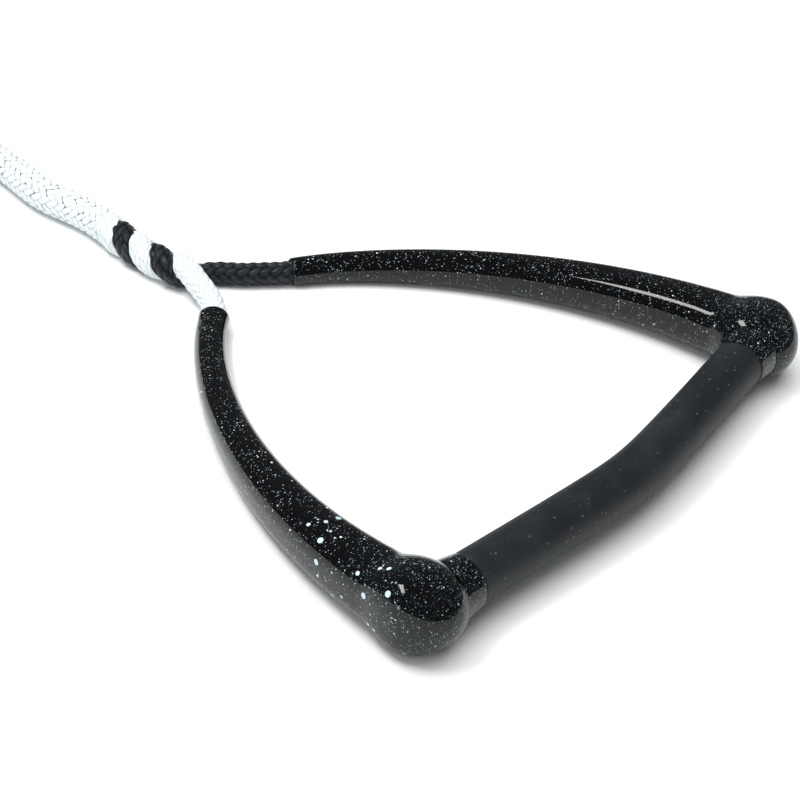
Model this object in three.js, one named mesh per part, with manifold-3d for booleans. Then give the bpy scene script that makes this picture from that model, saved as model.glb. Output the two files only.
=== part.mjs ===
// A tow rope handle for water sports: a bent, rubber-covered bar between two moulded arms,
// with a white and a black bridle leg that twist together into one tow line.
//
// The handle is drawn flat: X runs along the bar and Y from the bar towards the rope. It is then
// tipped so that both bulbs and both arm tips rest on the ground, Z = 0. Units are millimetres.

import * as THREE from "three";
import { mergeVertices } from "three/addons/utils/BufferGeometryUtils.js";
import Module from "manifold-3d";

const wasm = await Module();
wasm.setup();

// ---------------------------------------------------------------- driving dimensions

const FIT = 0.3; // gap kept between pieces that touch

const BULB_SPACING = 300; // between the bulb centres
const BAR_BEND = 7.5; // degrees that each half of the bar leans towards the rope
const BEND_LENGTH = 24; // how gradual the bend in the middle is

const TUBE_DIAMETER = 22;
const TUBE_WALL = 1.6;
const TUBE_PAST_BULB = 10; // how far the tube runs past a bulb's centre
const GRIP_DIAMETER = 28;
const PLUG_DEPTH = 14;

const BULB_AHEAD = 2.6; // the bulb's shift towards the rope
const BULB_WALL = { outer: 1.4, inner: 3.6, height: 2.2, back: 6.2 }; // outside the eye in it
const BAR_PLACE = -127.8; // where the bar's line crosses Y on the ground
const FOOT_FLAT = 0.4; // how much is worn flat where a bulb or a tip meets the ground

const ARM_LEAN = [4.5, 116]; // from the bulb's centre to the arm's second control point
const ARM_CURL = [84, 209.5]; // the third control point: from the centre line, and past the bulb
const ARM_TIP = [32.2, 244.8]; // the tip: from the centre line, and past the bulb
const ARM_ROOT_HALF = { outer: 20.4, inner: 17.8, height: 16.6 };
const TIP_WALL = { outer: 1.8, inner: 1.4, height: 0.8 }; // outside the rope channel
const ARM_FALL = { outer: 2.2, inner: 1.75, height: 1 }; // powers of the taper along the arm
const OUTER_SQUARENESS = 1.3; // how flat the outer face is, 0 being an ellipse
const INNER_SQUARENESS = 0.6;
const RIM_ROUND = 1.6;
const TIP_FOOT = 8; // how far back from its end a tip rests on the ground

const ROPE_DIAMETER = 13.2;
const LEG_STRAIGHT = 4; // how far a leg runs straight on from its fold
const BUSH_WALL = 1.8;
const BUSH_LENGTH = 20;
const EYE_THICKNESS = 5;
const EYE_WIDTH = 14;

const LINE_DIAMETER = 13.2; // the tow line past its splice
const YOKE_DIAMETER = 20.8; // the two legs twisted together
const SPLICE_DIAMETER = 20; // the white line with the black leg's tail inside it
const COIL = { y: 424, across: 11, turns: 2 }; // across is in line diameters
const TIE = { angle: 260, width: 20, thickness: 1.6 };
const LOOP = { length: 72, width: 36, bend: 30, throatDiameter: 15, throatStart: 62, throatEnd: 108 };
const LOOP_TURN = -42; // degrees round the coil that the end loop is moved by
const WHIPPING = { from: 77, to: 95, wall: 0.8 }; // degrees along the throat's arc

const COLLAR = { from: 14, to: 28, bulbRadius: 16.6, gripRadius: 14.7, round: 1.2 };

// Facets: half of those round a moulding or a rope, those along the bar and an arm, those round the
// coil, and the cords' pitch in diameters.
const STEP = { around: 9, rope: 5, bar: 14, arm: 20, coil: 40, cordPitch: 2 };

// ---------------------------------------------------------------- solids

function signedVolume(position, index) {
  const a = new THREE.Vector3();
  const b = new THREE.Vector3();
  const c = new THREE.Vector3();
  let sum = 0;
  for (let i = 0; i < index.count; i += 3) {
    a.fromBufferAttribute(position, index.getX(i));
    b.fromBufferAttribute(position, index.getX(i + 1));
    c.fromBufferAttribute(position, index.getX(i + 2));
    sum += a.dot(b.cross(c));
  }
  return sum / 6;
}

// A closed geometry as a manifold solid, turned right side out.
function toSolid(geometry) {
  const bare = geometry.clone();
  bare.deleteAttribute("normal");
  bare.deleteAttribute("uv");
  const merged = mergeVertices(bare, 1e-3);
  const faces = Uint32Array.from(merged.index.array);
  if (signedVolume(merged.attributes.position, merged.index) < 0) {
    for (let i = 0; i < faces.length; i += 3) {
      [faces[i], faces[i + 1]] = [faces[i + 1], faces[i]];
    }
  }
  const mesh = new wasm.Mesh({
    numProp: 3,
    vertProperties: merged.attributes.position.array,
    triVerts: faces,
  });
  return new wasm.Manifold(mesh);
}

function toGeometry(solid) {
  const mesh = solid.getMesh();
  const geometry = new THREE.BufferGeometry();
  geometry.setAttribute("position", new THREE.BufferAttribute(mesh.vertProperties, 3));
  geometry.setIndex(new THREE.BufferAttribute(mesh.triVerts, 1));
  geometry.computeVertexNormals();
  return geometry;
}

function piece(name, solid, color, roughness, metalness = 0) {
  const material = new THREE.MeshStandardMaterial({ color, roughness, metalness });
  const mesh = new THREE.Mesh(toGeometry(solid), material);
  mesh.name = name;
  return mesh;
}

// Rings of points joined into a skin, closed by a fan at each end.
function loft(rings) {
  const around = rings[0].length;
  const centres = [rings[0], rings.at(-1)].map((ring) =>
    ring.reduce((sum, p) => sum.add(p), new THREE.Vector3()).divideScalar(around),
  );
  const points = [...rings.flat(), ...centres];
  const faces = [];
  for (let j = 0; j < around; j++) {
    const next = (j + 1) % around;
    for (let i = 0; i + 1 < rings.length; i++) {
      const low = i * around;
      const high = low + around;
      faces.push(low + j, low + next, high + j, high + j, low + next, high + next);
    }
    const last = (rings.length - 1) * around;
    faces.push(points.length - 2, next, j, points.length - 1, last + j, last + next);
  }
  const geometry = new THREE.BufferGeometry().setFromPoints(points);
  geometry.setIndex(faces);
  return geometry;
}

function disc(radius, hole = 0) {
  const shape = new THREE.Shape().absarc(0, 0, radius, 0, 2 * Math.PI);
  if (hole > 0) {
    shape.holes.push(new THREE.Path().absarc(0, 0, hole, 0, 2 * Math.PI));
  }
  return shape;
}

function sweep(shape, path, steps, curveSegments = STEP.rope) {
  const options = { extrudePath: path, steps, curveSegments, bevelEnabled: false };
  return toSolid(new THREE.ExtrudeGeometry(shape, options));
}

// A solid of revolution from [radius, height] pairs that close on themselves or meet the axis.
function turned(profile, sides = 2 * STEP.around) {
  const points = profile.map(([radius, height]) => new THREE.Vector2(radius, height));
  return toSolid(new THREE.LatheGeometry(points, sides));
}

function ring(inner, outer, low, high) {
  return turned([[inner, low], [outer, low], [outer, high], [inner, high], [inner, low]]);
}

function rod(radius, low, high) {
  return turned([[0, low], [radius, low], [radius, high], [0, high]]);
}

// ---------------------------------------------------------------- the bar's line and the arm's line

const HALF_SPAN = BULB_SPACING / 2;
const BAR_LEAN = Math.tan(THREE.MathUtils.degToRad(BAR_BEND));

function barOffset(x) {
  return BAR_LEAN * (Math.hypot(x, BEND_LENGTH) - BEND_LENGTH);
}

class BarLine extends THREE.Curve {
  constructor(halfLength) {
    super();
    this.halfLength = halfLength;
  }

  getPoint(t, target = new THREE.Vector3()) {
    const x = (2 * t - 1) * this.halfLength;
    return target.set(x, barOffset(x), 0);
  }
}

const BULB_Y = barOffset(HALF_SPAN);
const BAR_END_ANGLE = Math.atan((BAR_LEAN * HALF_SPAN) / Math.hypot(HALF_SPAN, BEND_LENGTH));

// Sets a turned solid on the bar's end, its axis pointing out of the bar's end.
function onBarEnd(solid, side) {
  const turn = new THREE.Matrix4().makeRotationZ(side * (BAR_END_ANGLE - Math.PI / 2));
  const place = new THREE.Matrix4().makeTranslation(side * HALF_SPAN, BULB_Y, 0);
  return solid.transform(place.multiply(turn).toArray());
}

function armLine(side) {
  const at = (x, y) => new THREE.Vector3(side * x, BULB_Y + y, 0);
  return new THREE.CubicBezierCurve3(
    at(HALF_SPAN, 0),
    at(HALF_SPAN + ARM_LEAN[0], ARM_LEAN[1]),
    at(...ARM_CURL),
    at(...ARM_TIP),
  );
}

// The arm's line carried straight on behind the bulb's centre, for a distance below 0.
function armPlace(line, distance) {
  const u = Math.max(distance, 0) / line.getLength();
  const along = line.getTangentAt(u);
  const point = line.getPointAt(u).addScaledVector(along, Math.min(distance, 0));
  return { point, along };
}

const ARM_LENGTH = armLine(1).getLength();

// ---------------------------------------------------------------- the arm and its bulb

// Larger of two half sizes, with the corner between them eased.
function easedMax(a, b) {
  const power = 6;
  return (a ** power + b ** power) ** (1 / power);
}

function armHalf(which, distance) {
  const root = ARM_ROOT_HALF[which];
  const tip = ARM_TIP_HALF[which];
  const left = 1 - Math.max(distance, 0) / ARM_LENGTH;
  return tip + (root - tip) * left ** ARM_FALL[which];
}

function outlineHalf(which, distance) {
  const bulb = BULB_HALF[which];
  const reach = (distance - BULB.ahead) / BULB.back;
  const bulge = Math.sqrt(Math.max(0, 1 - reach * reach));
  if (distance < BULB.ahead) {
    return bulge * easedMax(bulb, armHalf(which, BULB.ahead));
  }
  const fromTip = ARM_LENGTH - distance;
  const round = Math.max(0, RIM_ROUND - fromTip);
  const rim = RIM_ROUND - Math.sqrt(RIM_ROUND * RIM_ROUND - round * round);
  return easedMax(bulge * bulb, armHalf(which, distance)) - rim;
}

function armSection(line, side, distance) {
  const { point, along } = armPlace(line, distance);
  const outward = new THREE.Vector3(side * along.y, -side * along.x, 0);
  const left = 1 - distance / ARM_LENGTH;
  const smooth = THREE.MathUtils.smoothstep;
  const outer = OUTER_SQUARENESS * left * smooth(distance, -BULB.back, BULB.ahead);
  const inner = INNER_SQUARENESS * left * smooth(distance, 0, BULB.back * 1.5);
  const width = { outer: outlineHalf("outer", distance), inner: outlineHalf("inner", distance) };
  const height = outlineHalf("height", distance);
  const squareness = { outer: 2 + outer, inner: 2 + inner };
  const sides = 2 * STEP.around;
  return Array.from({ length: sides }, (_, i) => {
    const angle = (2 * Math.PI * i) / sides;
    const face = Math.cos(angle) > 0 ? "outer" : "inner";
    const power = 2 / squareness[face];
    const across = Math.sign(Math.cos(angle)) * Math.abs(Math.cos(angle)) ** power;
    const up = Math.sign(Math.sin(angle)) * Math.abs(Math.sin(angle)) ** power;
    return point.clone().addScaledVector(outward, across * width[face]).setZ(up * height);
  });
}

function armBody(side) {
  const line = armLine(side);
  const distances = [];
  for (let i = 1; i <= STEP.around; i++) {
    distances.push(BULB.ahead - BULB.back * Math.cos((Math.PI / 2) * (i / STEP.around)));
  }
  for (let i = 1; i <= STEP.arm; i++) {
    const reach = (i / STEP.arm) ** 1.4;
    distances.push(THREE.MathUtils.lerp(BULB.ahead, ARM_LENGTH - RIM_ROUND, reach));
  }
  distances.push(ARM_LENGTH - RIM_ROUND / 2, ARM_LENGTH - RIM_ROUND / 8, ARM_LENGTH);
  const nearBack = armSection(line, side, BULB.ahead - BULB.back + 0.02);
  return toSolid(loft([nearBack, ...distances.map((d) => armSection(line, side, d))]));
}

// The stretch of the arm's line that the rope fills, run past the tip where a tool needs it.
function ropeLine(side, from, past) {
  const line = armLine(side);
  const points = [];
  const count = 24;
  for (let i = 0; i <= count; i++) {
    const distance = THREE.MathUtils.lerp(from, ARM_LENGTH, i / count);
    points.push(armPlace(line, distance).point);
  }
  if (past > 0) {
    const tip = armPlace(line, ARM_LENGTH);
    points.push(tip.point.clone().addScaledVector(tip.along, past));
  }
  return new THREE.CatmullRomCurve3(points);
}

const TUBE_RADIUS = TUBE_DIAMETER / 2;
const TUBE_BORE = TUBE_RADIUS - TUBE_WALL;
const BUSH_RADIUS = TUBE_RADIUS + FIT + BUSH_WALL;
const EYE_RADIUS = BUSH_RADIUS + FIT + EYE_THICKNESS;
const CHANNEL_RADIUS = ROPE_DIAMETER / 2 + 2 * FIT;
const CHANNEL_START = BUSH_RADIUS + FIT + EYE_THICKNESS / 2;

// A bulb closes over the eye inside it, and a tip over the rope channel.
function wrapped(radius, wall) {
  return { outer: radius + wall.outer, inner: radius + wall.inner, height: radius + wall.height };
}

const BULB = { back: EYE_RADIUS + BULB_WALL.back, ahead: BULB_AHEAD };
const BULB_HALF = wrapped(EYE_RADIUS, BULB_WALL);
const ARM_TIP_HALF = wrapped(CHANNEL_RADIUS, TIP_WALL);

// The ground under the flat-drawn handle: a plane that shaves the bulbs and the tips.
const TIP_Y = BULB_Y + ARM_TIP[1];
const GROUND_TIP = { y: TIP_Y - TIP_FOOT, z: FOOT_FLAT / 2 - ARM_TIP_HALF.height };
const GROUND_BULB = { y: BULB_Y + BULB.ahead, z: FOOT_FLAT - outlineHalf("height", BULB.ahead) };
const TIP_DOWN = Math.atan2(GROUND_TIP.z - GROUND_BULB.z, GROUND_TIP.y - GROUND_BULB.y);

function groundBlock() {
  const depth = 40;
  const side = 2 * BULB_SPACING + 2 * ARM_LENGTH;
  const block = new THREE.BoxGeometry(side, side, depth).translate(0, 0, -depth / 2);
  block.rotateX(TIP_DOWN).translate(0, GROUND_BULB.y, GROUND_BULB.z);
  return toSolid(block);
}

function collarProfile(extra) {
  const { from, to, bulbRadius, gripRadius, round } = COLLAR;
  const inner = TUBE_RADIUS + FIT - extra;
  const low = -to - extra;
  const corner = [];
  for (let i = 0; i <= 4; i++) {
    const angle = (Math.PI / 2) * (i / 4);
    const radius = gripRadius + extra - round * (1 - Math.sin(angle));
    corner.push([radius, low + round * (1 - Math.cos(angle))]);
  }
  const top = -from + extra;
  return [[inner, low], ...corner, [bulbRadius + extra, top], [inner, top], [inner, low]];
}

function armShell(side) {
  const tubeEnd = TUBE_PAST_BULB + FIT;
  const pocket = BULB_HALF.inner + 10;
  const cuts = [
    onBarEnd(rod(TUBE_RADIUS + FIT, -pocket, tubeEnd), side),
    onBarEnd(rod(BUSH_RADIUS + FIT, -BUSH_LENGTH / 2 - FIT, BUSH_LENGTH / 2 + FIT), side),
    onBarEnd(rod(EYE_RADIUS + FIT, -EYE_WIDTH / 2 - FIT, EYE_WIDTH / 2 + FIT), side),
    onBarEnd(turned(collarProfile(FIT)), side),
    sweep(disc(CHANNEL_RADIUS), ropeLine(side, CHANNEL_START, 2), STEP.arm),
    groundBlock(),
  ];
  return cuts.reduce((body, cut) => body.subtract(cut), armBody(side));
}

// ---------------------------------------------------------------- rope eye, bush, collar and bar

// The bridle leg inside an arm: an eye round the bar's bush, and the leg as far as the arm's tip.
function ropeEye(side) {
  const eye = rod(EYE_RADIUS, -EYE_WIDTH / 2, EYE_WIDTH / 2);
  const leg = sweep(disc(ROPE_DIAMETER / 2), ropeLine(side, CHANNEL_START, 0), STEP.arm);
  const bore = rod(BUSH_RADIUS + FIT, -EYE_WIDTH, EYE_WIDTH);
  return onBarEnd(eye, side).add(leg).subtract(onBarEnd(bore, side));
}

function bush(side) {
  const half = BUSH_LENGTH / 2;
  return onBarEnd(ring(TUBE_RADIUS + FIT, BUSH_RADIUS, -half, half), side);
}

function barPlug(side) {
  return onBarEnd(rod(TUBE_BORE - FIT, TUBE_PAST_BULB - PLUG_DEPTH, TUBE_PAST_BULB), side);
}

function alongBar(shape, halfLength) {
  return sweep(shape, new BarLine(halfLength), STEP.bar, STEP.around);
}

const LEAN_COS = Math.cos(BAR_END_ANGLE);
const TUBE_HALF = HALF_SPAN + TUBE_PAST_BULB * LEAN_COS;
const GRIP_HALF = HALF_SPAN - (COLLAR.to + FIT) * LEAN_COS;
const FOAM_HALF = HALF_SPAN - (PLUG_DEPTH - TUBE_PAST_BULB + FIT) * LEAN_COS;

const WHITE = 0xeef2f2;
const BLACK = 0x121214;
const GLOSS = 0x0b0b0d;

const handle = new THREE.Group();
handle.add(
  piece("bar_tube", alongBar(disc(TUBE_RADIUS, TUBE_BORE), TUBE_HALF), 0xb9bdc2, 0.35, 1),
  piece("bar_foam_core", alongBar(disc(TUBE_BORE - FIT), FOAM_HALF), 0xe9e4d2, 0.95),
  piece(
    "grip_sleeve",
    alongBar(disc(GRIP_DIAMETER / 2, TUBE_RADIUS + FIT), GRIP_HALF),
    0x15181a,
    0.8,
  ),
);
for (const [side, label, rope] of [[-1, "left", WHITE], [1, "right", BLACK]]) {
  handle.add(
    piece(`arm_${label}`, armShell(side), GLOSS, 0.12),
    piece(`collar_${label}`, onBarEnd(turned(collarProfile(0)), side), GLOSS, 0.15),
    piece(`bar_plug_${label}`, barPlug(side), 0x2a2a2c, 0.6),
    piece(`rope_bush_${label}`, bush(side), 0xd8d4c8, 0.5),
    piece(`rope_eye_${label}`, ropeEye(side), rope, 0.85),
  );
}

const part = new THREE.Group();
const tipped = new THREE.Group();
tipped.add(handle);
handle.rotation.x = -TIP_DOWN;
part.add(tipped);
tipped.updateMatrixWorld(true);
const box = new THREE.Box3().setFromObject(tipped, true);
tipped.position.set(0, BAR_PLACE, -box.min.z);

// ---------------------------------------------------------------- the tow line, on the ground

// Where the legs leave the arm tips is the line that the bridle folds about.
tipped.updateMatrixWorld(true);
function pastTip(side, extra = 0) {
  const tip = armPlace(armLine(side), ARM_LENGTH);
  const past = tip.point.addScaledVector(tip.along, ROPE_DIAMETER / 2 + FIT + extra);
  return handle.localToWorld(past);
}

const WHITE_LEG = [
  [-23.4, 145.6, 9.3],
  [-21.4, 152.8, 11.5],
  [-19.6, 160, 13.2],
  [-17.6, 166.4, 14.6],
  [-15.6, 173, 15.4],
];
const BLACK_LEG = [
  [18.4, 145.4, 7],
  [11.2, 152.2, 6.9],
  [5.2, 159.8, 6.8],
  [-0.6, 166.9, 6.6],
  [-7.4, 172.6, 6.6],
];
const YOKE = [
  [-14.6, 174, 10.5],
  [-17, 184, 10.5],
  [-17.8, 194, 10.5],
  [-17.4, 204, 10.5],
  [-16, 215, 10.5],
  [-14.2, 228, 10.5],
];
const SPLICE = [
  [-14.2, 228.4, 10.2],
  [-12.2, 241, 10.2],
  [-11, 255, 10.2],
  [-11.6, 268, 10.2],
  [-13.2, 281, 10.2],
  [-13.4, 293, 10.2],
  [-11.6, 306, 10.2],
  [-8.9, 320, 10.2],
  [-6.8, 334, 10.2],
  [-4.9, 348, 10.2],
  [-3.5, 360, 10.2],
  [-2.9, 371.4, 10.2],
];
const LEAD = [
  [-2.9, 372.4, 9],
  [-2.7, 388, 7.4],
  [-2.7, 408, 6.7],
];

function vectors(points) {
  return points.map((point) => (Array.isArray(point) ? new THREE.Vector3(...point) : point));
}

// A plain round cord through the points, as long as the chosen route.
function cord(points, diameter) {
  const route = new THREE.CatmullRomCurve3(vectors(points), false, "centripetal");
  const steps = Math.max(2, Math.round(route.getLength() / (STEP.cordPitch * diameter)));
  return sweep(disc(diameter / 2), route, steps);
}

const LINE_RADIUS = LINE_DIAMETER / 2;
const COIL_RADIUS = (COIL.across * LINE_DIAMETER) / 2;
const COIL_HALF_WIDTH = (COIL.turns * LINE_DIAMETER) / 2 + FIT / 2;
const COIL_X = LEAD.at(-1)[0] - COIL_RADIUS - LINE_RADIUS; // the lead runs on into the outer turn

function onCoil(solid) {
  return solid.rotate([90, 0, 0]).translate([COIL_X, COIL.y, 0]);
}

function coilRing(extra) {
  const inner = COIL_RADIUS - COIL_HALF_WIDTH - extra;
  const outer = COIL_RADIUS + COIL_HALF_WIDTH + extra;
  return onCoil(turned([
    [inner, -extra],
    [outer, -extra],
    [outer, LINE_DIAMETER + extra],
    [inner, LINE_DIAMETER + extra],
    [inner, -extra],
  ], STEP.coil));
}

// A block round the coil's section where the strap goes, smaller by inset on each side.
function tieBlock(inset, width) {
  const half = COIL_HALF_WIDTH - inset;
  const height = LINE_DIAMETER - 2 * inset;
  const block = new THREE.BoxGeometry(2 * half, width, height);
  block.translate(COIL_RADIUS, 0, LINE_DIAMETER / 2);
  block.rotateZ(THREE.MathUtils.degToRad(TIE.angle)).translate(COIL_X, COIL.y, 0);
  return toSolid(block);
}

function coilTie() {
  return tieBlock(0, TIE.width).subtract(tieBlock(TIE.thickness, 2 * TIE.width));
}

function lineCoil() {
  const room = TIE.width + 2 * FIT;
  const strapRoom = tieBlock(-1, room).subtract(tieBlock(TIE.thickness + FIT, 2 * room));
  return coilRing(0).subtract(strapRoom);
}

function legRoute(side, points) {
  return [pastTip(side), pastTip(side, LEG_STRAIGHT), ...points];
}

function bridleLeg(side, points) {
  const fold = pastTip(side);
  const ball = new THREE.SphereGeometry(ROPE_DIAMETER / 2, 2 * STEP.rope, STEP.rope);
  ball.translate(fold.x, fold.y, fold.z);
  const yokeRoom = cord(YOKE, YOKE_DIAMETER + 2 * FIT);
  return cord(legRoute(side, points), ROPE_DIAMETER).add(toSolid(ball)).subtract(yokeRoom);
}

// The end loop lies inside the coil. Its throat leaves the inner turn on an arc of its own, and
// its two strands part at the throat's end and meet again at the loop's far end.
const INNER_TURN = COIL_RADIUS - LINE_DIAMETER / 2;
const THROAT = { radius: LOOP.throatDiameter / 2, height: LOOP.throatDiameter / 2 + WHIPPING.wall + FIT };

function throatPoint(degrees) {
  const angle = THREE.MathUtils.degToRad(degrees);
  const x = INNER_TURN - LOOP.bend + LOOP.bend * Math.cos(angle);
  return new THREE.Vector3(COIL_X + x, COIL.y + LOOP.bend * Math.sin(angle), THROAT.height);
}

function throatLine(from, to) {
  const count = 6;
  const points = [];
  for (let i = 0; i <= count; i++) {
    points.push(throatPoint(THREE.MathUtils.lerp(from, to, i / count)));
  }
  return new THREE.CatmullRomCurve3(points);
}

function loopStrand(side) {
  const start = throatPoint(LOOP.throatEnd);
  const heading = THREE.MathUtils.degToRad(LOOP.throatEnd + 90);
  const shape = [[-4, 0], [6, 0.3], [0.28 * LOOP.length, 0.72], [0.6 * LOOP.length, 1]];
  const half = LOOP.width / 2;
  const points = shape.map(([ahead, share]) => [ahead, share * half]);
  points.push([0.86 * LOOP.length, 0.8 * half], [LOOP.length, 0], [LOOP.length - 1, -3]);
  const drop = THROAT.height - LINE_RADIUS - FIT;
  return points.map(([ahead, out]) => {
    const sunk = drop * THREE.MathUtils.smoothstep(ahead, 0, LOOP.length / 2);
    return new THREE.Vector3(
      start.x + ahead * Math.cos(heading) - side * out * Math.sin(heading),
      start.y + ahead * Math.sin(heading) + side * out * Math.cos(heading),
      start.z - sunk,
    );
  });
}

function loopThroat(extra) {
  const line = throatLine(LOOP.throatStart, LOOP.throatEnd + 8);
  return sweep(disc(THROAT.radius + extra), line, 6);
}

function roundCoil(solid) {
  const centred = solid.translate([-COIL_X, -COIL.y, 0]);
  return centred.rotate([0, 0, LOOP_TURN]).translate([COIL_X, COIL.y, 0]);
}

function endLoop() {
  const strands = [-1, 1].map((side) => cord(loopStrand(side), LINE_DIAMETER));
  const loop = strands.reduce((sum, strand) => sum.add(strand), loopThroat(0));
  return roundCoil(loop).subtract(coilRing(FIT));
}

function loopWhipping() {
  const outer = THROAT.radius + FIT + WHIPPING.wall;
  const sleeve = sweep(disc(outer), throatLine(WHIPPING.from, WHIPPING.to), 3);
  return roundCoil(sleeve.subtract(loopThroat(FIT))).subtract(coilRing(FIT));
}

const whiteLegRoom = cord(legRoute(-1, WHITE_LEG), ROPE_DIAMETER + 2 * FIT);

part.add(
  piece("bridle_leg_white", bridleLeg(-1, WHITE_LEG), WHITE, 0.85),
  piece("bridle_leg_black", bridleLeg(1, BLACK_LEG).subtract(whiteLegRoom), BLACK, 0.85),
  piece("bridle_yoke", cord(YOKE, YOKE_DIAMETER), WHITE, 0.85),
  piece("line_splice", cord(SPLICE, SPLICE_DIAMETER), WHITE, 0.85),
  piece("line_lead", cord(LEAD, LINE_DIAMETER).subtract(coilRing(FIT)), WHITE, 0.85),
  piece("line_coil", lineCoil(), WHITE, 0.85),
  piece("coil_tie", coilTie(), BLACK, 0.7),
  piece("end_loop", endLoop(), WHITE, 0.85),
  piece("loop_whipping", loopWhipping(), BLACK, 0.7),
);

export default part;
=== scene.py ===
"""Tow rope handle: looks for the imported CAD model, in metres, in the model's own frame."""
import math

import bpy
import numpy as np
from mathutils import Matrix, Vector


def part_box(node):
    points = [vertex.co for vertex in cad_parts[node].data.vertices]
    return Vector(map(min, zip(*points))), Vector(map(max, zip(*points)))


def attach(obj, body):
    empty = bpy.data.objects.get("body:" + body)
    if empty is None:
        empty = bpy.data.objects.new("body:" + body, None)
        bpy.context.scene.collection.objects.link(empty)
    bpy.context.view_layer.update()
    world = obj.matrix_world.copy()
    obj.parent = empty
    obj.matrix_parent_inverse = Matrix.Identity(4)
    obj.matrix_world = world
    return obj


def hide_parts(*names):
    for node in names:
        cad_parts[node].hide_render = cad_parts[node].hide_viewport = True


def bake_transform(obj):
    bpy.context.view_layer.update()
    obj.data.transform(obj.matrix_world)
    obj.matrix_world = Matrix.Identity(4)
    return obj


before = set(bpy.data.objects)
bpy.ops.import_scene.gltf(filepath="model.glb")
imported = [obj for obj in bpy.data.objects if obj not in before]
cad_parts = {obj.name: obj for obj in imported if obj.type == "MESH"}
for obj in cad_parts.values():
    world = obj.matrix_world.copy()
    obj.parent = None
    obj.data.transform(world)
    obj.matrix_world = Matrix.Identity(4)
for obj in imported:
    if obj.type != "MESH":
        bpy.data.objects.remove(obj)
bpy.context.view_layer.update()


# ---------------------------------------------------------------- view
# A studio camera with a long lens looks down over the near arm, along the bar.
# Its place and its three axes are in the model's frame, in metres.
CAMERA_PLACE = (-0.756684, -0.532892, 0.694650)
CAMERA_RIGHT = (0.63117551, -0.77266933, 0.06782021)
CAMERA_UP = (0.43168708, 0.42258322, 0.7969126)
CAMERA_BACK = (-0.6444096, -0.47371461, 0.60027555)
CAMERA_LENS = 95.69

camera_data = bpy.data.cameras.new("studio_camera")
camera_data.lens = CAMERA_LENS
camera_data.sensor_width = 36.0
camera = bpy.data.objects.new("studio_camera", camera_data)
camera_axes = Matrix((CAMERA_RIGHT, CAMERA_UP, CAMERA_BACK)).transposed()
camera.matrix_world = Matrix.LocRotScale(Vector(CAMERA_PLACE), camera_axes.to_quaternion(), None)
bpy.context.scene.collection.objects.link(camera)
bpy.context.scene.camera = camera
bpy.context.scene.view_settings.view_transform = "Standard"


# ---------------------------------------------------------------- bar
# A drawn aluminium tube, bent once in the middle, carries the whole handle. A closed-cell
# foam rod fills it so that it floats, and a rubber plug closes each end inside the bulbs.
MM = 0.001
HALF_SPAN = 150.0
BAR_LEAN = math.tan(math.radians(7.5))
BEND_LENGTH = 24.0
TUBE_RADIUS = 11.0
FIT = 0.3
TUBE_COLOUR = "#B9BDC2"
FOAM_COLOUR = "#E9E4D2"
PLUG_COLOUR = "#2A2A2C"
BUSH_COLOUR = "#D8D4C8"


def linear(hex_colour):
    """An sRGB hex colour as the linear RGBA that a shader takes."""
    channels = [int(hex_colour[i : i + 2], 16) / 255 for i in (1, 3, 5)]
    return [c / 12.92 if c <= 0.04045 else ((c + 0.055) / 1.055) ** 2.4 for c in channels] + [1.0]


def add_node(tree, kind, inputs=None, **settings):
    """Adds a node to a tree. Inputs are values, or sockets to link, by name or place."""
    node = tree.nodes.new(kind)
    for key, value in settings.items():
        setattr(node, key, value)
    for key, value in (inputs or {}).items():
        if isinstance(value, bpy.types.NodeSocket):
            tree.links.new(value, node.inputs[key])
        else:
            node.inputs[key].default_value = value
    return node


def start_material(name, **surface):
    """A material with one Principled surface, its plain values set on its own sockets."""
    material = bpy.data.materials.new(name)
    material.use_nodes = True
    tree = material.node_tree
    tree.nodes.clear()
    principled = add_node(tree, "ShaderNodeBsdfPrincipled")
    for key, value in surface.items():
        principled.inputs[key.replace("_", " ")].default_value = value
    add_node(tree, "ShaderNodeOutputMaterial", {"Surface": principled.outputs[0]})
    return material, tree, principled


def finish_node(node_name, material):
    """Gives a CAD node that stays in view its finish."""
    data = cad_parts[node_name].data
    data.materials.clear()
    data.materials.append(material)


def patterned_finish(name, kind, pattern, colours, depth_mm, mark=0, stretch=None, **surface):
    """A finish of two close colours and a slight relief, both from one fine pattern node."""
    material, tree, principled = start_material(name, **surface)
    place = add_node(tree, "ShaderNodeTexCoord").outputs["Object"]
    if stretch:
        place = add_node(tree, "ShaderNodeMapping", {"Vector": place, "Scale": stretch}).outputs[0]
    made = add_node(tree, kind, {"Vector": place, **pattern}).outputs[mark]
    tint = add_node(
        tree,
        "ShaderNodeMix",
        {0: made, 6: linear(colours[0]), 7: linear(colours[1])},
        data_type="RGBA",
    )
    tree.links.new(tint.outputs[2], principled.inputs["Base Color"])
    if depth_mm:
        bump = add_node(tree, "ShaderNodeBump", {"Height": made, "Distance": depth_mm * MM})
        tree.links.new(bump.outputs[0], principled.inputs["Normal"])
    return material


# Drawn aluminium: long fine die lines along the tube, soft satin reflections.
aluminium = patterned_finish(
    "drawn_aluminium", "ShaderNodeTexNoise", {"Scale": 3.0}, ("#A6ABB1", TUBE_COLOUR), 0.05,
    stretch=(8.0, 900.0, 900.0), Metallic=1.0, Roughness=0.34,
)
finish_node("bar_tube", aluminium)

# Closed-cell foam: cells about 0.8 mm across, quite dull.
foam = patterned_finish(
    "float_foam", "ShaderNodeTexVoronoi", {"Scale": 1200.0}, (FOAM_COLOUR, "#CFC8B2"), 0.2,
    mark="Distance", Roughness=0.95,
)
finish_node("bar_foam_core", foam)

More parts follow.
